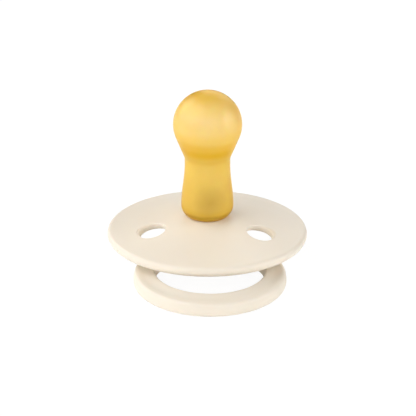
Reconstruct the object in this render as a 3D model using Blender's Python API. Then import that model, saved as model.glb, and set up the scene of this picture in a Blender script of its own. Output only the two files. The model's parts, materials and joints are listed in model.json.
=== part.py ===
"""A round rubber pacifier, teat up, standing on the flat back of its knob.

Metres, +Z up. The origin is on the teat's axis, on the knob's flat back face. The ring lies towards -Y.
"""

import math

import bmesh
import bpy

GAP = 0.0003  # between pieces that touch on the real object
SMALL_ROUND = 0.0003  # the slight rounding of a moulded edge

# Shield: a low dome with a rounded rim, two vents and a collar behind
SHIELD_RADIUS = 0.0215
SHIELD_THICKNESS = 0.0016
RIM_ROUND = 0.0011  # the rim is a little thicker than the wall, and fully rounded
RIM_Z = 0.0067  # middle of the rim
CROWN_RADIUS = 0.011  # the dome is round to here and a straight cone beyond
CONE_SLOPE = math.radians(12)
COLLAR_INNER_RADIUS = 0.0066
COLLAR_OUTER_RADIUS = 0.008
COLLAR_Z = 0.0057  # lower end of the collar
COLLAR_ROOT = 0.001  # the wall reaches full slope this far outside the collar
VENT_RADIUS = 0.0028
VENT_EDGE = 0.0006  # rounding of the vents' edges
VENT_TILT = math.radians(15)  # the vents lean outwards a little more than the wall
VENT_X = 0.01145
VENT_Y = -0.0059
SHIELD_TURN = math.radians(-3.2)  # the shield sits turned a little on the knob

# Teat: a ball head on a waisted neck, hollow, with a flange behind the shield
TEAT_WALL = 0.0012
HEAD_RADIUS = 0.0073
HEAD_HEIGHT = 0.0204  # centre of the head above the dome's top
HEAD_LOWER_ANGLE = math.radians(-20)  # where the ball turns into the cone under it
NECK_RADIUS = 0.00485
NECK_TOP = 0.013  # heights above the dome's top
NECK_BOTTOM = 0.0115
BULGE_RADIUS = 0.0056
BULGE_HEIGHT = 0.0023
BULGE_ROUND = 0.003
TEAT_BORE_RADIUS = 0.0043  # outside of the teat where it passes the shield
TEAT_FLANGE_RADIUS = 0.0063
TEAT_FLANGE_THICKNESS = 0.0012

# Knob: the button that carries the axle
KNOB_RADIUS = 0.0072
KNOB_EDGE = 0.0016
SPIGOT_RADIUS = 0.0063
SPIGOT_INNER_RADIUS = 0.0053
KNOB_FLOOR_Z = 0.005  # floor of the seat for the plug

# Plug: stem, flange and the crossbar that closes the axle's slots
STEM_RADIUS = 0.0028
STEM_HEIGHT = 0.0015  # top of the stem above the dome's top
STEM_ROUND = 0.0008
PLUG_FLANGE_RADIUS = 0.005
CROSSBAR_HALF_LENGTH = 0.0069
AIR_WAY_RADIUS = 0.0006

# Ring and its hinge
HINGE_Z = 0.0024
AXLE_RADIUS = 0.0013
RING_OUTER_RADIUS = 0.0161
RING_INNER_RADIUS = 0.01165
RING_THICKNESS = 0.0037
RING_FACE_IN = 0.00175  # height of the sloping face's inner edge above the section's middle
RING_FACE_OUT = 0.0011
RING_LIP = 0.00025  # the face ends this far inside the widest part
RING_WIDEST_Z = -0.00045
RING_LOWER_EDGE = 0.00095  # fillets of the section
RING_UPPER_EDGE = 0.0009
RING_SIDE_ROUND = 0.0015
RING_INNER_EDGE = 0.0005
RING_FACE_EDGE = 0.0004
RING_OFFSET = 0.0126  # from the hinge to the ring's centre
RING_END_X = 0.0079  # flat ends of the ring, beside the knob
RING_SIDE_PLAY = 0.0004  # the loose ring lies this far to +X
AXLE_ROOT = 0.0002  # how far the axle runs into the ring's ends
RING_FLOOR_GAP = 0.00005

SMOOTH_BELOW = math.radians(35)  # edges that turn more than this stay sharp

CONE_EDGE_RADIUS = SHIELD_RADIUS - RIM_ROUND * (1 - math.sin(CONE_SLOPE))  # where the cone meets the rim
DOME_TOP_Z = (
    RIM_Z
    + RIM_ROUND * math.cos(CONE_SLOPE)
    + CROWN_RADIUS * math.tan(CONE_SLOPE / 2)
    + (CONE_EDGE_RADIUS - CROWN_RADIUS) * math.tan(CONE_SLOPE)
)
SHIELD_BORE_RADIUS = TEAT_BORE_RADIUS + GAP
SEAT_Z = DOME_TOP_Z - SHIELD_THICKNESS - GAP  # flat seat for the teat's flange
TEAT_FLANGE_TOP_Z = SEAT_Z - GAP
TEAT_FLANGE_LOW_Z = TEAT_FLANGE_TOP_Z - TEAT_FLANGE_THICKNESS
CLAMP_Z = TEAT_FLANGE_LOW_Z - GAP  # top of the spigot and of the plug's flange
KNOB_SHOULDER_Z = COLLAR_Z - GAP
SLOT_HALF_WIDTH = AXLE_RADIUS + GAP
RING_REACH = RING_OFFSET + RING_OUTER_RADIUS - RING_LOWER_EDGE / 2  # to where its lower edge rests
RING_REST_ANGLE = math.asin((HINGE_Z - RING_THICKNESS / 2 - RING_FLOOR_GAP) / RING_REACH)

IVORY = (0.86, 0.78, 0.66)
AMBER = (0.80, 0.50, 0.14)


def clear_scene():
    for obj in list(bpy.data.objects):
        bpy.data.objects.remove(obj, do_unlink=True)


def material(name, colour, roughness):
    made = bpy.data.materials.new(name)
    made.use_nodes = True
    shader = made.node_tree.nodes["Principled BSDF"]
    shader.inputs["Base Color"].default_value = (*colour, 1)
    shader.inputs["Roughness"].default_value = roughness
    shader.inputs["Metallic"].default_value = 0
    return made


def arc(centre, radius, start, end, steps):
    """Points on a circle in the (r, z) plane, both ends included."""
    points = []
    for i in range(steps + 1):
        angle = start + (end - start) * i / steps
        points.append((centre[0] + radius * math.cos(angle), centre[1] + radius * math.sin(angle)))
    return points


def filleted(corners, steps=4):
    """An outline through (r, z, fillet radius) corners, with an arc for each corner that has a radius."""
    outline = []
    for i, (r, z, fillet) in enumerate(corners):
        if not fillet:
            outline.append((r, z))
            continue
        before, after = corners[i - 1], corners[(i + 1) % len(corners)]
        back = math.atan2(before[1] - z, before[0] - r)
        on = math.atan2(after[1] - z, after[0] - r)
        turn = (on - back + math.pi) % (2 * math.pi) - math.pi
        reach = fillet / math.tan(abs(turn) / 2)
        middle = back + turn / 2
        depth = fillet / math.sin(abs(turn) / 2)
        centre = (r + depth * math.cos(middle), z + depth * math.sin(middle))
        start = math.atan2(z + reach * math.sin(back) - centre[1], r + reach * math.cos(back) - centre[0])
        sweep = -math.copysign(math.pi - abs(turn), turn)
        outline += arc(centre, fillet, start, start + sweep, steps)
    return outline


def profile_object(name, outline, closed):
    """The outline as a chain of edges in the XZ plane."""
    mesh = bpy.data.meshes.new(name)
    points = [(r, 0, z) for r, z in outline]
    edges = [(i, i + 1) for i in range(len(points) - 1)]
    if closed:
        edges.append((len(points) - 1, 0))
    mesh.from_pydata(points, edges, [])
    obj = bpy.data.objects.new(name, mesh)
    bpy.context.scene.collection.objects.link(obj)
    return obj


def turned(name, outline, segments, closed=False):
    """The outline, listed down its outer side, turned about Z. An open one starts and ends on the axis."""
    obj = profile_object(name, outline, closed)
    screw = obj.modifiers.new("turn", "SCREW")
    screw.axis = "Z"
    screw.angle = 2 * math.pi
    screw.steps = segments
    screw.render_steps = segments
    screw.use_merge_vertices = True
    screw.merge_threshold = 0.000001
    screw.use_smooth_shade = True
    return obj


def block(name, low, high):
    """A plain box between two corners."""
    work = bmesh.new()
    bmesh.ops.create_cube(work, size=1)
    for vertex in work.verts:
        for axis in range(3):
            vertex.co[axis] = high[axis] if vertex.co[axis] > 0 else low[axis]
    mesh = bpy.data.meshes.new(name)
    work.to_mesh(mesh)
    work.free()
    obj = bpy.data.objects.new(name, mesh)
    bpy.context.scene.collection.objects.link(obj)
    return obj


def rod_along_x(name, radius, half_length, sides):
    """A round rod on the X axis."""
    outline = [(0, half_length), (radius, half_length), (radius, -half_length), (0, -half_length)]
    rod = turned(name, outline, sides)
    rod.rotation_euler.y = math.pi / 2
    return rod


def helper(obj):
    obj.hide_render = True
    obj.display_type = "WIRE"
    return obj


def combine(obj, other, operation):
    change = obj.modifiers.new(other.name, "BOOLEAN")
    change.operation = operation
    change.object = helper(other)
    change.solver = "EXACT"


def finish(obj, made):
    """Applies the modifiers, drops their helpers and shades the round faces smooth."""
    graph = bpy.context.evaluated_depsgraph_get()
    mesh = bpy.data.meshes.new_from_object(obj.evaluated_get(graph))
    helpers = [change.object for change in obj.modifiers if change.type == "BOOLEAN"]
    obj.modifiers.clear()
    obj.data = mesh
    for other in helpers:
        bpy.data.objects.remove(other)
    mesh.materials.clear()
    mesh.materials.append(made)
    mesh.shade_smooth()
    mesh.set_sharp_from_angle(angle=SMOOTH_BELOW)
    return obj


def dome_height(r):
    """Height of the dome's upper surface, out to the rim's rounding."""
    if r < CROWN_RADIUS:
        bend = CROWN_RADIUS / math.sin(CONE_SLOPE)
        return DOME_TOP_Z - bend + math.sqrt(bend * bend - r * r)
    return DOME_TOP_Z - CROWN_RADIUS * math.tan(CONE_SLOPE / 2) - (r - CROWN_RADIUS) * math.tan(CONE_SLOPE)


def dome_line(start, end, offset, steps):
    """Points on a surface parallel to the dome, from one radius to another."""
    points = []
    for i in range(steps + 1):
        r = start + (end - start) * i / steps
        slope = math.asin(min(r, CROWN_RADIUS) / CROWN_RADIUS * math.sin(CONE_SLOPE))
        points.append((r - offset * math.sin(slope), dome_height(r) - offset * math.cos(slope)))
    return points


def make_shield(ivory):
    rim = (SHIELD_RADIUS - RIM_ROUND, RIM_Z)
    collar_top = dome_height(COLLAR_OUTER_RADIUS) - SHIELD_THICKNESS
    outline = dome_line(SHIELD_BORE_RADIUS, CONE_EDGE_RADIUS, 0, 6)
    outline += arc(rim, RIM_ROUND, math.pi / 2 - CONE_SLOPE, -math.pi / 2 - CONE_SLOPE, 7)[1:]
    outline += dome_line(rim[0] - 2 * RIM_ROUND, COLLAR_OUTER_RADIUS + COLLAR_ROOT, SHIELD_THICKNESS, 4)
    outline += filleted([
        (COLLAR_OUTER_RADIUS, collar_top, 0),
        (COLLAR_OUTER_RADIUS, COLLAR_Z, SMALL_ROUND),
        (COLLAR_INNER_RADIUS, COLLAR_Z, 0),
        (COLLAR_INNER_RADIUS, SEAT_Z, 0),
        (SHIELD_BORE_RADIUS, SEAT_Z, 0),
    ], 2)
    shield = turned("shield", outline, 60, closed=True)
    for side in (-1, 1):
        combine(shield, make_vent_cutter(side), "DIFFERENCE")
    return finish(shield, ivory)


def make_vent_cutter(side):
    """A waisted plug across the shield's wall, which leaves a vent with rounded edges."""
    reach = SHIELD_THICKNESS
    inner = SHIELD_THICKNESS / 2 - VENT_EDGE
    flare = VENT_RADIUS + VENT_EDGE
    outline = [(0, reach), (flare, reach)]
    outline += arc((flare, inner), VENT_EDGE, math.pi / 2, math.pi, 3)
    outline += arc((flare, -inner), VENT_EDGE, math.pi, 1.5 * math.pi, 3)
    outline += [(flare, -reach), (0, -reach)]
    cutter = turned("vent_cutter_right" if side > 0 else "vent_cutter_left", outline, 28)
    heading = math.atan2(VENT_Y, side * VENT_X) + SHIELD_TURN
    away = math.hypot(VENT_X, VENT_Y)
    middle_r = away - SHIELD_THICKNESS / 2 * math.sin(CONE_SLOPE)
    middle_z = dome_height(away) - SHIELD_THICKNESS / 2
    cutter.location = (middle_r * math.cos(heading), middle_r * math.sin(heading), middle_z)
    cutter.rotation_euler = (0, VENT_TILT, heading)
    return cutter


def neck_radius(height):
    """Radius of the neck at a height above the dome's top: narrow above, flared to the bulge."""
    share = (NECK_BOTTOM - height) / (NECK_BOTTOM - BULGE_HEIGHT)
    share = min(max(share, 0), 1)
    return NECK_RADIUS + (BULGE_RADIUS - NECK_RADIUS) * share * share * (3 - 2 * share)


def teat_side(inset, head_steps, neck_steps):
    """The teat's side from the top of the head to the bulge, moved inwards by the inset."""
    head = (0, DOME_TOP_Z + HEAD_HEIGHT)
    points = arc(head, HEAD_RADIUS - inset, math.pi / 2, HEAD_LOWER_ANGLE, head_steps)
    points[0] = (0, points[0][1])
    for i in range(neck_steps + 1):
        height = NECK_TOP + (BULGE_HEIGHT - NECK_TOP) * i / neck_steps
        points.append((neck_radius(height) - inset, DOME_TOP_Z + height))
    return points


def make_teat(amber):
    outer = teat_side(0, 9, 6)
    centre = (BULGE_RADIUS - BULGE_ROUND, DOME_TOP_Z + BULGE_HEIGHT)
    lowest = math.asin((GAP - BULGE_HEIGHT) / BULGE_ROUND)
    outer += arc(centre, BULGE_ROUND, 0, lowest, 4)[1:]
    outer += [
        (TEAT_BORE_RADIUS, DOME_TOP_Z),
        (TEAT_BORE_RADIUS, TEAT_FLANGE_TOP_Z),
        (TEAT_FLANGE_RADIUS, TEAT_FLANGE_TOP_Z),
        (TEAT_FLANGE_RADIUS, TEAT_FLANGE_LOW_Z),
    ]
    bore = TEAT_BORE_RADIUS - TEAT_WALL
    inner = teat_side(TEAT_WALL, 6, 4)
    inner += [(bore, DOME_TOP_Z), (bore, TEAT_FLANGE_LOW_Z)]
    teat = turned("teat", outer + inner[::-1], 40)
    return finish(teat, amber)


def make_plug(ivory):
    top = DOME_TOP_Z + STEM_HEIGHT
    flange_low = KNOB_FLOOR_Z + GAP
    outline = filleted([
        (0, top, 0),
        (STEM_RADIUS, top, STEM_ROUND),
        (STEM_RADIUS, CLAMP_Z, 0),
        (PLUG_FLANGE_RADIUS, CLAMP_Z, SMALL_ROUND),
        (PLUG_FLANGE_RADIUS, flange_low, SMALL_ROUND),
        (0, flange_low, 0),
    ], 3)
    plug = turned("plug", outline, 28)
    half_width = SLOT_HALF_WIDTH - GAP
    bar_low = HINGE_Z + AXLE_RADIUS + GAP
    low_corner = (-CROSSBAR_HALF_LENGTH, -half_width, bar_low)
    high_corner = (CROSSBAR_HALF_LENGTH, half_width, KNOB_SHOULDER_Z)
    combine(plug, block("crossbar", low_corner, high_corner), "UNION")
    reach = top - bar_low
    air_way = turned("air_way_cutter", [
        (0, top + reach),
        (AIR_WAY_RADIUS, top + reach),
        (AIR_WAY_RADIUS, bar_low - reach),
        (0, bar_low - reach),
    ], 12)
    combine(plug, air_way, "DIFFERENCE")
    return finish(plug, ivory)


def make_knob(ivory):
    outline = filleted([
        (0, KNOB_FLOOR_Z, 0),
        (SPIGOT_INNER_RADIUS, KNOB_FLOOR_Z, 0),
        (SPIGOT_INNER_RADIUS, CLAMP_Z, 0),
        (SPIGOT_RADIUS, CLAMP_Z, 0),
        (SPIGOT_RADIUS, KNOB_SHOULDER_Z, 0),
        (KNOB_RADIUS, KNOB_SHOULDER_Z, SMALL_ROUND),
        (KNOB_RADIUS, 0, KNOB_EDGE),
        (0, 0, 0),
    ], 5)
    knob = turned("knob", outline, 40)
    reach = 1.2 * KNOB_RADIUS
    slot_round = rod_along_x("slot_round_cutter", SLOT_HALF_WIDTH, reach, 24)
    slot_round.location.z = HINGE_Z
    combine(knob, slot_round, "DIFFERENCE")
    slot_low = (-reach, -SLOT_HALF_WIDTH, HINGE_Z)
    slot_high = (reach, SLOT_HALF_WIDTH, 1.2 * CLAMP_Z)
    combine(knob, block("slot_cutter", slot_low, slot_high), "DIFFERENCE")
    return finish(knob, ivory)


def make_handle_ring(ivory):
    half = RING_THICKNESS / 2
    section = filleted([
        (RING_INNER_RADIUS, RING_FACE_IN, RING_FACE_EDGE),
        (RING_OUTER_RADIUS - RING_LIP, RING_FACE_OUT, RING_UPPER_EDGE),
        (RING_OUTER_RADIUS, RING_WIDEST_Z, RING_SIDE_ROUND),
        (RING_OUTER_RADIUS, -half, RING_LOWER_EDGE),
        (RING_INNER_RADIUS, -half, RING_INNER_EDGE),
    ], 3)
    hinge = bpy.data.objects.new("ring_hinge", None)
    bpy.context.scene.collection.objects.link(hinge)
    hinge.location.z = HINGE_Z
    hinge.rotation_euler.x = RING_REST_ANGLE

    ring = turned("handle_ring", section, 60, closed=True)
    ring.parent = hinge
    ring.location = (RING_SIDE_PLAY, -RING_OFFSET, 0)
    gap_low = (-RING_END_X, -RING_OUTER_RADIUS / 3, -RING_THICKNESS)
    gap_high = (RING_END_X, RING_OUTER_RADIUS / 3, RING_THICKNESS)
    gap = block("ring_gap_cutter", gap_low, gap_high)
    axle = rod_along_x("axle", AXLE_RADIUS, RING_END_X + AXLE_ROOT, 20)
    for piece in (gap, axle):
        piece.parent = hinge
        piece.location.x = RING_SIDE_PLAY
    combine(ring, gap, "DIFFERENCE")
    combine(ring, axle, "UNION")
    return finish(ring, ivory)


def main():
    clear_scene()
    ivory = material("ivory_plastic", IVORY, 0.45)
    amber = material("amber_rubber", AMBER, 0.3)
    make_teat(amber)
    make_shield(ivory)
    make_plug(ivory)
    make_knob(ivory)
    make_handle_ring(ivory)


main()
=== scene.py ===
"""Looks of a round rubber pacifier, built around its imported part. Metres, +Z up, the ring towards -Y."""

import json
import math

import bmesh
import bpy
from mathutils import Matrix, Vector


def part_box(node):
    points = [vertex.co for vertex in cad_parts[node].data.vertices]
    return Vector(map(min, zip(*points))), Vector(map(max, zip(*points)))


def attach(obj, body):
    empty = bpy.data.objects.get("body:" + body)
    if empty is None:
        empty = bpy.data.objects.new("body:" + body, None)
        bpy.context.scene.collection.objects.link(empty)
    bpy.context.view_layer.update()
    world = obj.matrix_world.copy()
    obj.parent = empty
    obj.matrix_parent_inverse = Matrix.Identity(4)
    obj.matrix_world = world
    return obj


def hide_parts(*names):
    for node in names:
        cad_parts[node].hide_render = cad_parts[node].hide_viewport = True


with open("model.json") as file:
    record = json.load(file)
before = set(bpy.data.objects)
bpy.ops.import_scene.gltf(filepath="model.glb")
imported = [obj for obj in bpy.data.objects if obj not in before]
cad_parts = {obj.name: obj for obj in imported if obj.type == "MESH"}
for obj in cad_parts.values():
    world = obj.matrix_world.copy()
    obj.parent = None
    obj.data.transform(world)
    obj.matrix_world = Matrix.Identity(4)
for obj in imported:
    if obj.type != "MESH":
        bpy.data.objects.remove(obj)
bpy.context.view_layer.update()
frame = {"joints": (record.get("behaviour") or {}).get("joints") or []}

MM = 0.001
TAU = 2 * math.pi

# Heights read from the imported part
KNOB_BACK_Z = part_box("knob")[0].z
HINGE_Z = frame["joints"][0]["pos_m"][2]

# Shield
SHIELD_RADIUS = 21.5 * MM
SHIELD_WALL = 1.6 * MM
RIM_ROUND = 1.1 * MM
RIM_Z = 6.7 * MM
CROWN_RADIUS = 11 * MM  # the dome is round to here and a straight cone beyond
CONE_SLOPE = math.radians(12)
COLLAR_INNER = 6.6 * MM
COLLAR_OUTER = 8 * MM
COLLAR_Z = 5.7 * MM
COLLAR_OUTER_ROUND = 0.3 * MM
COLLAR_INNER_ROUND = 0.15 * MM
SHIELD_BORE = 4.2 * MM
VENT_RADIUS = 2.8 * MM
VENT_EDGE = 0.6 * MM
VENT_TILT = math.radians(15)
VENT_X = 11.45 * MM
VENT_Y = -5.9 * MM
SHIELD_TURN = math.radians(-3.2)  # the shield sits turned a little on the knob
CONE_EDGE = SHIELD_RADIUS - RIM_ROUND * (1 - math.sin(CONE_SLOPE))
DOME_TOP = (
    RIM_Z
    + RIM_ROUND * math.cos(CONE_SLOPE)
    + CROWN_RADIUS * math.tan(CONE_SLOPE / 2)
    + (CONE_EDGE - CROWN_RADIUS) * math.tan(CONE_SLOPE)
)

# Teat, heights above the dome's top
TEAT_WALL = 1.2 * MM
HEAD_RADIUS = 7.3 * MM
HEAD_HEIGHT = 20.4 * MM
TEAT_HEIGHT = HEAD_HEIGHT + HEAD_RADIUS
CONE_START = math.radians(-20)  # where the ball turns into the cone under it
CREASE_HEIGHT = 13 * MM
CREASE_ROUND = 2.6 * MM
NECK_RADIUS = 4.85 * MM
NECK_BOTTOM = 11.5 * MM
BULGE_RADIUS = 5.6 * MM
BULGE_HEIGHT = 2.3 * MM
BULGE_ROUND = 3 * MM
FLANGE_RADIUS = 6.4 * MM
SEAT_Z = DOME_TOP - 1.9 * MM
FLANGE_LOW_Z = SEAT_Z - 1.4 * MM

# The rubber's body colour by height above the dome, in mm: partly its own amber, partly painted light, with
# painted shade at the foot by the shield, in the neck's crease and on the tip, and a painted highlight
# across the head
LATEX_TINTS_AND_PAINTED_LIGHT = [
    (0.2, (0.68, 0.49, 0.11)),
    (0.9, (0.55, 0.37, 0.03)),
    (1.8, (0.74, 0.55, 0.11)),
    (3.0, (0.78, 0.59, 0.15)),
    (6.0, (0.79, 0.60, 0.16)),
    (11.0, (0.85, 0.66, 0.20)),
    (13.8, (0.83, 0.62, 0.15)),
    (15.3, (0.81, 0.55, 0.035)),
    (17.0, (0.87, 0.63, 0.12)),
    (18.8, (0.91, 0.70, 0.25)),
    (21.0, (0.94, 0.74, 0.37)),
    (23.5, (0.95, 0.75, 0.43)),
    (25.5, (0.95, 0.74, 0.36)),
    (27.6, (0.88, 0.65, 0.18)),
]
CLOUD_TINT = (0.93, 0.9, 0.8)

# Painted shade: a darker spot on the front of the neck about this point, standing in for the plug's shadow
# seen through the rubber
STEM_SHADE = (0.6 * MM, -5.2 * MM, DOME_TOP + 4.6 * MM)
STEM_SHADE_REACH = 4 * MM
STEM_SHADE_TINT = (0.78, 0.72, 0.62)

# Ivory plastic
IVORY_LIGHT = (0.86, 0.78, 0.66)
IVORY_DARK = (0.84, 0.76, 0.64)
IVORY_ROUGHNESS = 0.42

# Knob and plug
KNOB_RADIUS = 7.2 * MM
KNOB_EDGE = 1.6 * MM
KNOB_TOP_ROUND = 0.3 * MM
KNOB_TOP_Z = 5.5 * MM
SPIGOT_RADIUS = 6.4 * MM
SPIGOT_INNER = 5.2 * MM
SPIGOT_TOP_Z = FLANGE_LOW_Z - 0.05 * MM
SEAT_FLOOR_Z = 5 * MM
SLOT_HALF_WIDTH = 1.6 * MM
MARK_RADIUS = 1.3 * MM  # the shallow dimple of the moulding gate
MARK_DEPTH = 0.12 * MM
MARK_ROUND = 0.06 * MM
STEM_RADIUS = 2.8 * MM
STEM_HEIGHT = 1.5 * MM
STEM_ROUND = 0.8 * MM
STEM_FOOT_ROUND = 0.1 * MM
PLUG_FLANGE = 5.05 * MM
MOULDED_EDGE = 0.2 * MM  # the round on the small inner edges
BAR_HALF_LENGTH = 6.9 * MM
BAR_HALF_WIDTH = 1.3 * MM
BAR_LOW_Z = 4 * MM

# Ring
RING_OUTER = 16.1 * MM
RING_INNER = 11.65 * MM
RING_THICKNESS = 3.7 * MM
RING_FACE_IN = 1.75 * MM  # height of the face's inner edge above the ring's middle
RING_FACE_OUT = 1.1 * MM
RING_LIP = 0.25 * MM  # the face ends this far inside the widest part
RING_WIDEST_Z = -0.45 * MM
RING_LOWER_EDGE = 0.95 * MM
RING_UPPER_EDGE = 0.9 * MM
RING_SIDE_ROUND = 1.5 * MM
RING_INNER_EDGE = 0.5 * MM
RING_FACE_EDGE = 0.4 * MM
RING_OFFSET = 12.6 * MM  # from the hinge to the ring's middle
RING_END_X = 7.9 * MM
RING_PLAY = 0.4 * MM  # the ring lies this far to +X on its axle
RING_REACH = RING_OFFSET + RING_OUTER - RING_LOWER_EDGE / 2
RING_REST_GAP = 0.05 * MM  # left between the ring's low edge and the table
RING_TILT = math.asin((HINGE_Z - KNOB_BACK_Z - RING_THICKNESS / 2 - RING_REST_GAP) / RING_REACH)
RING_END_ROUND = 0.15 * MM
RING_END_STEPS = 6
RING_DISH = 0.15 * MM  # how far the sloping face sinks along its middle
RING_STATIONS = 180
SECTION_STEPS = 8  # in each round of the ring's section
DISH_STEPS = 12
AXLE_RADIUS = 1.3 * MM

SHARP_ANGLE = 35  # degrees, over which an edge is shaded sharp

FLOOR_HALF = 1.5
FLOOR_DROP = 0.03 * MM  # keeps the floor just clear of the knob's back
FLOOR_GLOW = 1.04
FLOOR_GLOW_SHARE = 0.88  # how much of what the camera sees of the floor is glow
LIGHT_DISTANCE = 0.8
LIGHT_AIM_Z = 15 * MM

# Name, heading and elevation in degrees, size in metres, power in watts
SOFTBOXES = [
    ("key_left", 293, 41, 0.9, 6.0),
    ("fill_front", 12, 28, 0.7, 2.4),
    ("fill_right", 80, 20, 0.6, 3.3),
    ("back_right", 165, 28, 0.6, 1.9),
    ("back_left", 235, 28, 0.5, 2.2),
]

# The camera: angles in radians, and the point on the object's axis that it aims near
CAMERA_LENS = 156.9
CAMERA_DISTANCE = 0.39
CAMERA_ELEVATION = math.radians(22.9)
CAMERA_TURN = math.radians(-1)
CAMERA_ROLL = -0.004
CAMERA_AIM_Z = 9.95 * MM
CAMERA_RIGHT = 0.153 * MM
CAMERA_UP = 2.1 * MM


# ---------------------------------------------------------------- outlines

def arc(centre, radius, start, end, steps):
    """Points on a circle in the (r, z) plane, both ends included."""
    turns = [start + (end - start) * i / steps for i in range(steps + 1)]
    return [(centre[0] + radius * math.cos(a), centre[1] + radius * math.sin(a)) for a in turns]


def straight(start, end, steps):
    """Points between two others, without the first."""
    shares = [i / steps for i in range(1, steps + 1)]
    return [(start[0] + (end[0] - start[0]) * t, start[1] + (end[1] - start[1]) * t) for t in shares]


def filleted(corners, steps=6):
    """An outline through (r, z, fillet radius) corners, with an arc for each corner that has a radius."""
    outline = []
    for i, (r, z, fillet) in enumerate(corners):
        if not fillet:
            outline.append((r, z))
            continue
        before, after = corners[i - 1], corners[(i + 1) % len(corners)]
        back = math.atan2(before[1] - z, before[0] - r)
        on = math.atan2(after[1] - z, after[0] - r)
        turn = (on - back + math.pi) % TAU - math.pi
        reach = fillet / math.tan(abs(turn) / 2)
        depth = fillet / math.sin(abs(turn) / 2)
        middle = back + turn / 2
        centre = (r + depth * math.cos(middle), z + depth * math.sin(middle))
        start = math.atan2(z + reach * math.sin(back) - centre[1], r + reach * math.cos(back) - centre[0])
        outline += arc(centre, fillet, start, start - math.copysign(math.pi - abs(turn), turn), steps)
    return outline


# ---------------------------------------------------------------- mesh tools

def new_object(name, work):
    """An object made of this shape, with its faces pointing out."""
    mesh = bpy.data.meshes.new(name)
    bmesh.ops.recalc_face_normals(work, faces=work.faces)
    if work.calc_volume(signed=True) < 0:
        bmesh.ops.reverse_faces(work, faces=work.faces)
    work.to_mesh(mesh)
    work.free()
    obj = bpy.data.objects.new(name, mesh)
    bpy.context.scene.collection.objects.link(obj)
    return obj


def join_rows(work, rows, closed_rows):
    """Faces between neighbouring rows of points, each row closed round. A row of one point is a tip."""
    count = len(rows)
    for i in range(count if closed_rows else count - 1):
        low, high = rows[i], rows[(i + 1) % count]
        size = max(len(low), len(high))
        if size == 1:
            continue
        for j in range(size):
            k = (j + 1) % size
            corners = [low[j % len(low)], low[k % len(low)], high[k % len(high)], high[j % len(high)]]
            work.faces.new(list(dict.fromkeys(corners)))


def turned(name, outline, segments, closed=False):
    """An outline of (r, z) turned about Z. An open one starts and ends on the axis."""
    work = bmesh.new()
    rows = []
    for r, z in outline:
        if r < 1e-7:
            rows.append([work.verts.new((0, 0, z))])
            continue
        turns = [TAU * j / segments for j in range(segments)]
        rows.append([work.verts.new((r * math.cos(a), r * math.sin(a), z)) for a in turns])
    join_rows(work, rows, closed)
    return new_object(name, work)


def block(name, low, high):
    """A box between two corners, for cutting and joining."""
    work = bmesh.new()
    bmesh.ops.create_cube(work, size=1)
    for vertex in work.verts:
        vertex.co = [high[axis] if vertex.co[axis] > 0 else low[axis] for axis in range(3)]
    return new_object(name, work)


def rod(name, radius, half_length, centre):
    """A round bar along X, for cutting and joining."""
    outline = [(0, half_length), (radius, half_length), (radius, -half_length), (0, -half_length)]
    bar = turned(name, outline, 64)
    place(bar, Matrix.Translation(centre) @ Matrix.Rotation(math.pi / 2, 4, "Y"))
    return bar


def combine(obj, other, operation):
    """Joins another shape to this one or cuts it away, and removes the other."""
    change = obj.modifiers.new("combine", "BOOLEAN")
    change.operation = operation
    change.object = other
    change.solver = "EXACT"
    apply_modifiers(obj)
    bpy.data.objects.remove(other)


def apply_modifiers(obj):
    """Keeps the shape that the modifiers make, and drops them."""
    graph = bpy.context.evaluated_depsgraph_get()
    mesh = bpy.data.meshes.new_from_object(obj.evaluated_get(graph))
    obj.modifiers.clear()
    obj.data = mesh


def soften_edges(obj, width):
    """A small round on every sharp edge."""
    bevel = obj.modifiers.new("soften", "BEVEL")
    bevel.width = width
    bevel.segments = 3
    bevel.limit_method = "ANGLE"
    bevel.angle_limit = math.radians(40)
    bevel.use_clamp_overlap = True
    apply_modifiers(obj)


def place(obj, matrix):
    """Moves a shape in its mesh, so that its object stays at the origin."""
    obj.data.transform(matrix)


def finish_piece(obj, made, body, node):
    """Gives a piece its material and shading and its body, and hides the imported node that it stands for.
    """
    obj.data.materials.clear()
    obj.data.materials.append(made)
    obj.data.shade_smooth()
    obj.data.set_sharp_from_angle(angle=math.radians(SHARP_ANGLE))
    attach(obj, body)
    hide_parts(node)


# ---------------------------------------------------------------- shapes

def dome_height(r):
    """The height of the shield's upper face at a radius."""
    if r < CROWN_RADIUS:
        bend = CROWN_RADIUS / math.sin(CONE_SLOPE)
        return DOME_TOP - bend + math.sqrt(bend * bend - r * r)
    return DOME_TOP - CROWN_RADIUS * math.tan(CONE_SLOPE / 2) - (r - CROWN_RADIUS) * math.tan(CONE_SLOPE)


def dome_line(start, end, offset, steps):
    """Points on a surface parallel to the dome, from one radius to another."""
    points = []
    for i in range(steps + 1):
        r = start + (end - start) * i / steps
        slope = math.asin(min(r, CROWN_RADIUS) / CROWN_RADIUS * math.sin(CONE_SLOPE))
        points.append((r - offset * math.sin(slope), dome_height(r) - offset * math.cos(slope)))
    return points


def vent_cutter(side):
    """A waisted plug across the wall, which leaves a vent with rounded edges."""
    reach = 1.5 * SHIELD_WALL
    inner = SHIELD_WALL / 2 - VENT_EDGE
    flare = VENT_RADIUS + VENT_EDGE
    outline = [(0, reach), (flare, reach)]
    outline += arc((flare, inner), VENT_EDGE, math.pi / 2, math.pi, 8)
    outline += arc((flare, -inner), VENT_EDGE, math.pi, 1.5 * math.pi, 8)
    outline += [(flare, -reach), (0, -reach)]
    cutter = turned("vent_cutter", outline, 96)
    away = math.hypot(VENT_X, VENT_Y)
    across = away - SHIELD_WALL / 2 * math.sin(CONE_SLOPE)
    middle = Vector((across, 0, dome_height(away) - SHIELD_WALL / 2))
    heading = Matrix.Rotation(math.atan2(VENT_Y, side * VENT_X) + SHIELD_TURN, 4, "Z")
    place(cutter, heading @ Matrix.Translation(middle) @ Matrix.Rotation(VENT_TILT, 4, "Y"))
    return cutter


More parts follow.
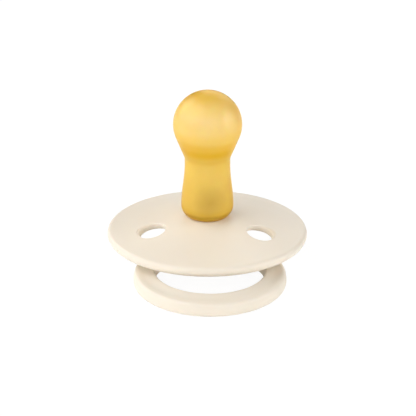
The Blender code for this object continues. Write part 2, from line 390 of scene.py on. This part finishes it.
def make_shield(plastic):
    rim = (SHIELD_RADIUS - RIM_ROUND, RIM_Z)
    outline = dome_line(SHIELD_BORE, CONE_EDGE, 0, 40)
    outline += arc(rim, RIM_ROUND, math.pi / 2 - CONE_SLOPE, -math.pi / 2 - CONE_SLOPE, 24)[1:]
    outline += dome_line(rim[0] - 2 * RIM_ROUND, COLLAR_OUTER + MM, SHIELD_WALL, 24)
    outline += filleted([
        (COLLAR_OUTER, dome_height(COLLAR_OUTER) - SHIELD_WALL, 0),
        (COLLAR_OUTER, COLLAR_Z, COLLAR_OUTER_ROUND),
        (COLLAR_INNER, COLLAR_Z, COLLAR_INNER_ROUND),
        (COLLAR_INNER, SEAT_Z, 0),
        (SHIELD_BORE, SEAT_Z, 0),
    ])
    shield = turned("shield_guard", outline, 240, closed=True)
    for side in (-1, 1):
        combine(shield, vent_cutter(side), "DIFFERENCE")
    finish_piece(shield, plastic, "body", "shield")


def neck_line(inset, steps):
    """The neck's side from under the crease down to the bulge."""
    points = []
    for i in range(1, steps + 1):
        share = i / steps
        height = NECK_BOTTOM + (BULGE_HEIGHT - NECK_BOTTOM) * share
        radius = NECK_RADIUS + (BULGE_RADIUS - NECK_RADIUS) * share * share * (3 - 2 * share)
        points.append((radius - inset, DOME_TOP + height))
    return points


def teat_side(inset, steps):
    """The teat's side from the tip down to the bulge, moved inwards by the inset."""
    head = (0, DOME_TOP + HEAD_HEIGHT)
    points = arc(head, HEAD_RADIUS - inset, math.pi / 2, CONE_START, steps)
    points[0] = (0, points[0][1])
    start = points[-1]
    crease = filleted([
        (start[0], start[1], 0),
        (NECK_RADIUS - inset, DOME_TOP + CREASE_HEIGHT, CREASE_ROUND + inset),
        (NECK_RADIUS - inset, DOME_TOP + NECK_BOTTOM, 0),
    ], 12)
    points += straight(start, crease[1], steps // 4)
    points += crease[2:]
    points += neck_line(inset, steps // 2)
    return points


def make_teat(latex):
    outline = teat_side(0, 64)
    centre = (BULGE_RADIUS - BULGE_ROUND, DOME_TOP + BULGE_HEIGHT)
    tuck = -math.acos((SHIELD_BORE - centre[0]) / BULGE_ROUND)
    outline += arc(centre, BULGE_ROUND, 0, tuck, 20)[1:]
    outline += [
        (SHIELD_BORE, SEAT_Z),
        (FLANGE_RADIUS, SEAT_Z),
        (FLANGE_RADIUS, FLANGE_LOW_Z),
        (SHIELD_BORE - TEAT_WALL, FLANGE_LOW_Z),
    ]
    inner = teat_side(TEAT_WALL, 48)
    inner.append((SHIELD_BORE - TEAT_WALL, DOME_TOP))
    teat = turned("teat_latex", outline + inner[::-1], 192)
    finish_piece(teat, latex, "body", "teat")


def make_plug(plastic):
    top = DOME_TOP + STEM_HEIGHT
    outline = filleted([
        (0, top, 0),
        (STEM_RADIUS, top, STEM_ROUND),
        (STEM_RADIUS, SPIGOT_TOP_Z, STEM_FOOT_ROUND),
        (PLUG_FLANGE, SPIGOT_TOP_Z, MOULDED_EDGE),
        (PLUG_FLANGE, SEAT_FLOOR_Z, MOULDED_EDGE),
        (0, SEAT_FLOOR_Z, 0),
    ])
    plug = turned("plug_stem", outline, 96)
    low = (-BAR_HALF_LENGTH, -BAR_HALF_WIDTH, BAR_LOW_Z)
    high = (BAR_HALF_LENGTH, BAR_HALF_WIDTH, KNOB_TOP_Z)
    bar = block("crossbar", low, high)
    soften_edges(bar, MOULDED_EDGE)
    combine(plug, bar, "UNION")
    finish_piece(plug, plastic, "body", "plug")


def make_knob(plastic):
    outline = filleted([
        (0, SEAT_FLOOR_Z, 0),
        (SPIGOT_INNER, SEAT_FLOOR_Z, 0),
        (SPIGOT_INNER, SPIGOT_TOP_Z, 0),
        (SPIGOT_RADIUS, SPIGOT_TOP_Z, MOULDED_EDGE),
        (SPIGOT_RADIUS, KNOB_TOP_Z, 0),
        (KNOB_RADIUS, KNOB_TOP_Z, KNOB_TOP_ROUND),
        (KNOB_RADIUS, KNOB_BACK_Z, KNOB_EDGE),
        (MARK_RADIUS, KNOB_BACK_Z, MARK_ROUND),
        (MARK_RADIUS * 0.8, KNOB_BACK_Z + MARK_DEPTH, MARK_ROUND),
        (0, KNOB_BACK_Z + MARK_DEPTH, 0),
    ], 12)
    knob = turned("knob_button", outline, 160)
    reach = 1.3 * KNOB_RADIUS
    combine(knob, rod("slot_round", SLOT_HALF_WIDTH, reach, (0, 0, HINGE_Z)), "DIFFERENCE")
    low = (-reach, -SLOT_HALF_WIDTH, HINGE_Z)
    high = (reach, SLOT_HALF_WIDTH, 1.2 * SPIGOT_TOP_Z)
    combine(knob, block("slot_sides", low, high), "DIFFERENCE")
    finish_piece(knob, plastic, "body", "knob")


def ring_section(inset):
    """The ring's section as (r, height) points, shrunk by the inset, with a slightly dished upper face."""
    back = -RING_THICKNESS / 2 + inset
    low_r, high_r = RING_INNER + inset, RING_OUTER - inset
    outline = filleted([
        (high_r, back, RING_LOWER_EDGE - inset),
        (low_r, back, RING_INNER_EDGE - inset),
        (low_r, RING_FACE_IN - inset, RING_FACE_EDGE - inset),
        (high_r - RING_LIP, RING_FACE_OUT - inset, RING_UPPER_EDGE - inset),
        (high_r, RING_WIDEST_Z, RING_SIDE_ROUND),
    ], SECTION_STEPS)
    face_start = 3 * (SECTION_STEPS + 1)  # the face runs from the third round to the fourth
    face = straight(outline[face_start - 1], outline[face_start], DISH_STEPS)[:-1]
    dish = []
    for i, (r, height) in enumerate(face, 1):
        share = i / DISH_STEPS
        dish.append((r, height - RING_DISH * math.sin(math.pi * share) ** 2))
    return outline[:face_start] + dish + outline[face_start:]


def ring_station(inset, end_x, share):
    """The section at a share of the way round the ring, from the end at +X to the end at -X."""
    points = []
    for r, height in ring_section(inset):
        end = math.asin(end_x / r)
        angle = end + share * (TAU - 2 * end)
        points.append((r * math.sin(angle), r * math.cos(angle), height))
    return points


def make_ring(plastic):
    work = bmesh.new()
    stations = []
    for k in range(RING_END_STEPS + 1):
        lift = math.pi / 2 * (1 - k / RING_END_STEPS)
        inset = RING_END_ROUND * (1 - math.cos(lift))
        end_x = RING_END_X + RING_END_ROUND * (1 - math.sin(lift))
        stations.append((inset, end_x, 0))
    stations += [(0, RING_END_X + RING_END_ROUND, i / RING_STATIONS) for i in range(1, RING_STATIONS)]
    stations += [(inset, end_x, 1) for inset, end_x, _ in stations[RING_END_STEPS::-1]]
    rows = [[work.verts.new(p) for p in ring_station(*station)] for station in stations]
    join_rows(work, rows, False)
    work.faces.new(rows[0][::-1])
    work.faces.new(rows[-1])
    ring = new_object("handle_ring_grip", work)
    axle_half = RING_END_X + RING_END_ROUND / 2
    combine(ring, rod("axle", AXLE_RADIUS, axle_half, (0, RING_OFFSET, 0)), "UNION")
    hinge = Matrix.Translation((0, 0, HINGE_Z)) @ Matrix.Rotation(RING_TILT, 4, "X")
    place(ring, hinge @ Matrix.Translation((RING_PLAY, -RING_OFFSET, 0)))
    finish_piece(ring, plastic, "ring", "handle_ring")


# ---------------------------------------------------------------- materials

class Nodes:
    """A material's nodes, with short calls to add and join them."""

    def __init__(self, name):
        self.material = bpy.data.materials.new(name)
        self.material.use_nodes = True
        self.tree = self.material.node_tree
        self.shader = self.tree.nodes["Principled BSDF"]

    def add(self, kind, **settings):
        """A new node, with the settings given to its inputs or to the node itself."""
        node = self.tree.nodes.new(kind)
        for key, value in settings.items():
            if key in node.inputs:
                node.inputs[key].default_value = value
            else:
                setattr(node, key, value)
        return node

    def link(self, source, target):
        self.tree.links.new(source, target)

    def own_place(self):
        """The surface's place in the object's own metres."""
        return self.add("ShaderNodeTexCoord").outputs["Object"]

    def noise(self, scale, detail, roughness=0.5):
        """Noise whose spots are about 1 / scale metres across."""
        noise = self.add("ShaderNodeTexNoise", Scale=scale, Detail=detail, Roughness=roughness)
        self.link(self.own_place(), noise.inputs["Vector"])
        return noise.outputs["Fac"]

    def height_share(self, low, high):
        """0 to 1 between two heights of the object."""
        parts = self.add("ShaderNodeSeparateXYZ")
        self.link(self.own_place(), parts.inputs[0])
        return self.spread(parts.outputs["Z"], 0, 1, low, high)

    def distance_to(self, point):
        """How far the surface is from a point of the object."""
        gap = self.add("ShaderNodeVectorMath", operation="DISTANCE")
        self.link(self.own_place(), gap.inputs[0])
        gap.inputs[1].default_value = point
        return gap.outputs["Value"]

    def ramp(self, share, stops):
        """A colour for each (share, colour) stop, smooth between them."""
        ramp = self.add("ShaderNodeValToRGB")
        ramp.color_ramp.interpolation = "EASE"
        elements = ramp.color_ramp.elements
        while len(elements) < len(stops):
            elements.new(0.5)
        for element, (at, colour) in zip(elements, sorted(stops)):
            element.position = at
            element.color = (*colour, 1)
        self.link(share, ramp.inputs[0])
        return ramp.outputs["Color"]

    def spread(self, value, low, high, at_low=0.3, at_high=0.7):
        """Maps a value to a range. Noise lies about 0.5, between the two limits given here."""
        change = self.add("ShaderNodeMapRange", clamp=True)
        change.inputs["From Min"].default_value = at_low
        change.inputs["From Max"].default_value = at_high
        change.inputs["To Min"].default_value = low
        change.inputs["To Max"].default_value = high
        self.link(value, change.inputs["Value"])
        return change.outputs["Result"]

    def mixed(self, share, first, second, kind="MIX"):
        """Two colours mixed by a share, as a socket."""
        mix = self.add("ShaderNodeMix", data_type="RGBA", blend_type=kind)
        for socket, value in ((mix.inputs[6], first), (mix.inputs[7], second)):
            if isinstance(value, tuple):
                socket.default_value = (*value, 1)
            else:
                self.link(value, socket)
        self.link(share, mix.inputs[0])
        return mix.outputs[2]

    def either(self, share, first, second):
        """One shader or the other, by the share of the second."""
        mix = self.add("ShaderNodeMixShader")
        self.link(share, mix.inputs[0])
        self.link(first.outputs[0], mix.inputs[1])
        self.link(second.outputs[0], mix.inputs[2])
        return mix

    def bump(self, height, strength, distance, before=None):
        """A normal raised by a height, on top of the bump before it."""
        bump = self.add("ShaderNodeBump", Strength=strength, Distance=distance)
        self.link(height, bump.inputs["Height"])
        if before:
            self.link(before, bump.inputs["Normal"])
        return bump.outputs["Normal"]


def plastic_material():
    """Fine matte moulded polypropylene: faint clouding, a satin grain and a little light in its skin."""
    nodes = Nodes("ivory_plastic")
    shader = nodes.shader
    cloud = nodes.spread(nodes.noise(90, 2), 0, 1)
    nodes.link(nodes.mixed(cloud, IVORY_LIGHT, IVORY_DARK), shader.inputs["Base Color"])
    patches = nodes.spread(nodes.noise(450, 4), IVORY_ROUGHNESS - 0.04, IVORY_ROUGHNESS + 0.05)
    nodes.link(patches, shader.inputs["Roughness"])
    flow = nodes.bump(nodes.noise(260, 2), 0.12, 0.02 * MM)
    grain = nodes.bump(nodes.noise(7000, 3, 0.6), 0.25, 0.008 * MM, flow)
    nodes.link(grain, shader.inputs["Normal"])
    shader.inputs["IOR"].default_value = 1.49
    shader.inputs["Subsurface Weight"].default_value = 0.15
    shader.inputs["Subsurface Radius"].default_value = (1.0, 0.7, 0.45)
    shader.inputs["Subsurface Scale"].default_value = 0.8 * MM
    return nodes.material


def latex_material():
    """Amber natural rubber: translucent and cloudy, under a clear tinted skin that deepens at the edges.
    Its colour carries painted shade and a painted highlight by height, and a painted shade spot on the
    neck's front.
    """
    nodes = Nodes("amber_latex")
    shader = nodes.shader
    share = nodes.height_share(DOME_TOP, DOME_TOP + TEAT_HEIGHT)
    # the body colour by height carries painted shade at the foot, the crease and the tip, and a painted
    # highlight on the head
    height_tint_and_shade = nodes.ramp(share, [(height * MM / TEAT_HEIGHT, colour) for height, colour in LATEX_TINTS_AND_PAINTED_LIGHT])
    cloud = nodes.spread(nodes.noise(160, 3), 0, 0.5)
    clouded = nodes.mixed(cloud, height_tint_and_shade, CLOUD_TINT, "MULTIPLY")
    # painted shade: a darker spot on the neck's front about STEM_SHADE, for the plug's shadow through the
    # rubber
    painted_stem_shade = nodes.spread(nodes.distance_to(STEM_SHADE), 0.9, 0, 0, STEM_SHADE_REACH)
    nodes.link(nodes.mixed(painted_stem_shade, clouded, STEM_SHADE_TINT, "MULTIPLY"), shader.inputs["Base Color"])
    patches = nodes.spread(nodes.noise(600, 4), 0.28, 0.36)
    nodes.link(patches, shader.inputs["Roughness"])
    flow = nodes.bump(nodes.noise(350, 2), 0.2, 0.03 * MM)
    grain = nodes.bump(nodes.noise(5000, 3, 0.6), 0.2, 0.01 * MM, flow)
    nodes.link(grain, shader.inputs["Normal"])
    shader.inputs["IOR"].default_value = 1.52
    shader.inputs["Subsurface Weight"].default_value = 1.0
    shader.inputs["Subsurface Radius"].default_value = (1.0, 0.7, 0.3)
    shader.inputs["Subsurface Scale"].default_value = 0.9 * MM
    shader.inputs["Coat Weight"].default_value = 1.0
    shader.inputs["Coat Roughness"].default_value = 0.3
    shader.inputs["Coat IOR"].default_value = 1.08
    shader.inputs["Coat Tint"].default_value = (0.96, 0.87, 0.62, 1)
    return nodes.material


def floor_material():
    """A white table that glows, so that only a faint shadow shows on it. It is clear from below."""
    nodes = Nodes("white_floor")
    shader = nodes.shader
    shader.inputs["Base Color"].default_value = (0.9, 0.9, 0.9, 1)
    shader.inputs["Roughness"].default_value = 0.7
    shader.inputs["Emission Color"].default_value = (1, 1, 1, 1)
    shader.inputs["Emission Strength"].default_value = 0.16
    glow = nodes.add("ShaderNodeEmission", Strength=FLOOR_GLOW)
    seen = nodes.add("ShaderNodeLightPath")
    share = nodes.add("ShaderNodeMath", operation="MULTIPLY")
    share.inputs[1].default_value = FLOOR_GLOW_SHARE
    nodes.link(seen.outputs["Is Camera Ray"], share.inputs[0])
    table = nodes.either(share.outputs[0], shader, glow)
    below = nodes.add("ShaderNodeNewGeometry").outputs["Backfacing"]
    seen_from_below = nodes.either(below, table, nodes.add("ShaderNodeBsdfTransparent"))
    nodes.link(seen_from_below.outputs[0], nodes.tree.nodes["Material Output"].inputs["Surface"])
    return nodes.material


# ---------------------------------------------------------------- stage

def make_floor():
    work = bmesh.new()
    bmesh.ops.create_grid(work, x_segments=8, y_segments=8, size=FLOOR_HALF)
    floor = new_object("floor", work)
    place(floor, Matrix.Translation((0, 0, KNOB_BACK_Z - FLOOR_DROP)))
    floor.data.materials.append(floor_material())


def softbox(name, heading, elevation, size, power):
    """A square light that faces the object. Heading 0 is in front, at -Y, and 90 at +X, in degrees."""
    light = bpy.data.lights.new(name, "AREA")
    light.size = size
    light.energy = power
    lamp = bpy.data.objects.new(name, light)
    turn, lift = math.radians(heading), math.radians(elevation)
    away = Vector((math.sin(turn) * math.cos(lift), -math.cos(turn) * math.cos(lift), math.sin(lift)))
    lamp.location = away * LIGHT_DISTANCE + Vector((0, 0, LIGHT_AIM_Z))
    lamp.rotation_mode = "QUATERNION"
    lamp.rotation_quaternion = away.to_track_quat("Z", "Y")
    bpy.context.scene.collection.objects.link(lamp)


def light_scene():
    """A world that is white to the camera and gives no light, and the five lights."""
    world = bpy.data.worlds.new("studio")
    world.use_nodes = True
    wall = world.node_tree.nodes["Background"]
    wall.inputs["Color"].default_value = (1, 1, 1, 1)
    seen = world.node_tree.nodes.new("ShaderNodeLightPath")
    world.node_tree.links.new(seen.outputs["Is Camera Ray"], wall.inputs["Strength"])
    bpy.context.scene.world = world
    bpy.context.scene.view_settings.view_transform = "Standard"
    for values in SOFTBOXES:
        softbox(*values)


def make_camera():
    """Looks down at the object from the front with a long lens."""
    forward = Vector((0, math.cos(CAMERA_ELEVATION), -math.sin(CAMERA_ELEVATION)))
    right = Vector((1, 0, 0))
    up = right.cross(forward)
    camera = bpy.data.cameras.new("camera")
    camera.lens = CAMERA_LENS
    camera.sensor_width = 36
    camera.clip_start = 0.01
    rig = bpy.data.objects.new("camera", camera)
    aim = Vector((0, 0, CAMERA_AIM_Z))
    place_at = aim - CAMERA_DISTANCE * forward + CAMERA_RIGHT * right + CAMERA_UP * up
    across = math.cos(CAMERA_ROLL) * right - math.sin(CAMERA_ROLL) * up
    above = math.sin(CAMERA_ROLL) * right + math.cos(CAMERA_ROLL) * up
    axes = Matrix((across, above, -forward)).transposed().to_4x4()
    turn = Matrix.Rotation(CAMERA_TURN, 4, "Z")
    rig.matrix_world = turn @ Matrix.Translation(place_at) @ axes
    bpy.context.scene.collection.objects.link(rig)
    bpy.context.scene.camera = rig


def main():
    ivory = plastic_material()
    make_shield(ivory)
    make_plug(ivory)
    make_knob(ivory)
    make_ring(ivory)
    make_teat(latex_material())
    make_floor()
    light_scene()
    make_camera()


main()
